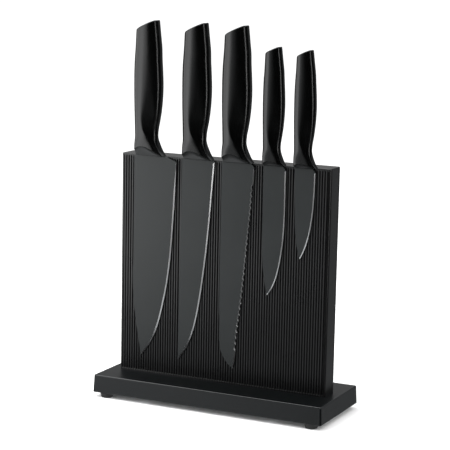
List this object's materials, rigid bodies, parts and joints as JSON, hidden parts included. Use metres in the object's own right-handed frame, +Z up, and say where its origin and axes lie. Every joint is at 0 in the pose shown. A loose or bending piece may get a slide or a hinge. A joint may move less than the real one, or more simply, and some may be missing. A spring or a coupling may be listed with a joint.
{
  "type": "magnetic knife block with knives",
  "caption": "Upright ribbed magnetic board on a weighted base, holding a set of kitchen knives flat against its front face.",
  "frame": {"origin": "on the table surface, under the middle of the base", "axes": "+X along the block towards the paring knife, +Y from the knives' side towards the back, +Z up"},
  "size_m": [0.2496, 0.095, 0.3799],
  "materials": {
    "base_plastic": "fine-textured black moulding",
    "board_plastic": "satin black ribbed moulding",
    "underside_plastic": "plain black moulding",
    "carrier_plastic": "plain grey moulding",
    "foot_rubber": "matt black rubber",
    "bare_steel": "plain cut steel",
    "zinc_fasteners": "zinc-plated",
    "aluminium_bar": "machined bar",
    "ferrite": "sintered ferrite",
    "coated_blade": "matt dark-grey non-stick coating on steel",
    "coated_bolster": "satin black coating on steel",
    "handle_plastic": "satin-gloss black moulding"
  },
  "bodies": {
    "stand": {"base_shell": "base_plastic", "base_underplate": "underside_plastic", "underplate_screws": "zinc_fasteners", "ballast_plate": "bare_steel", "panel_bolts": "zinc_fasteners", "bolt_washers": "zinc_fasteners", "foot_front_left": "foot_rubber", "foot_front_right": "foot_rubber", "foot_back_left": "foot_rubber", "foot_back_right": "foot_rubber", "panel_front_shell": "board_plastic", "panel_back_shell": "board_plastic", "panel_foot_bar": "aluminium_bar", "yoke_plate": "bare_steel", "front_magnet_carrier": "carrier_plastic", "back_magnet_carrier": "carrier_plastic", "front_magnets_low": "ferrite", "front_magnets_middle": "ferrite", "front_magnets_high": "ferrite", "back_magnets_low": "ferrite", "back_magnets_middle": "ferrite", "back_magnets_high": "ferrite"},
    "chef_knife": {"chef_blade": "coated_blade", "chef_bolster": "coated_bolster", "chef_handle": "handle_plastic"},
    "carving_knife": {"carving_blade": "coated_blade", "carving_bolster": "coated_bolster", "carving_handle": "handle_plastic"},
    "bread_knife": {"bread_blade": "coated_blade", "bread_bolster": "coated_bolster", "bread_handle": "handle_plastic"},
    "utility_knife": {"utility_blade": "coated_blade", "utility_bolster": "coated_bolster", "utility_handle": "handle_plastic"},
    "paring_knife": {"paring_blade": "coated_blade", "paring_bolster": "coated_bolster", "paring_handle": "handle_plastic"}
  },
  "joints": [
    {"name": "chef_pull_off", "type": "slide", "parent": "stand", "child": "chef_knife", "axis": [0, -1, 0], "range_m": [0, 0.12]},
    {"name": "carving_pull_off", "type": "slide", "parent": "stand", "child": "carving_knife", "axis": [0, -1, 0], "range_m": [0, 0.12]},
    {"name": "bread_pull_off", "type": "slide", "parent": "stand", "child": "bread_knife", "axis": [0, -1, 0], "range_m": [0, 0.12]},
    {"name": "utility_pull_off", "type": "slide", "parent": "stand", "child": "utility_knife", "axis": [0, -1, 0], "range_m": [0, 0.12]},
    {"name": "paring_pull_off", "type": "slide", "parent": "stand", "child": "paring_knife", "axis": [0, -1, 0], "range_m": [0, 0.12]}
  ]
}
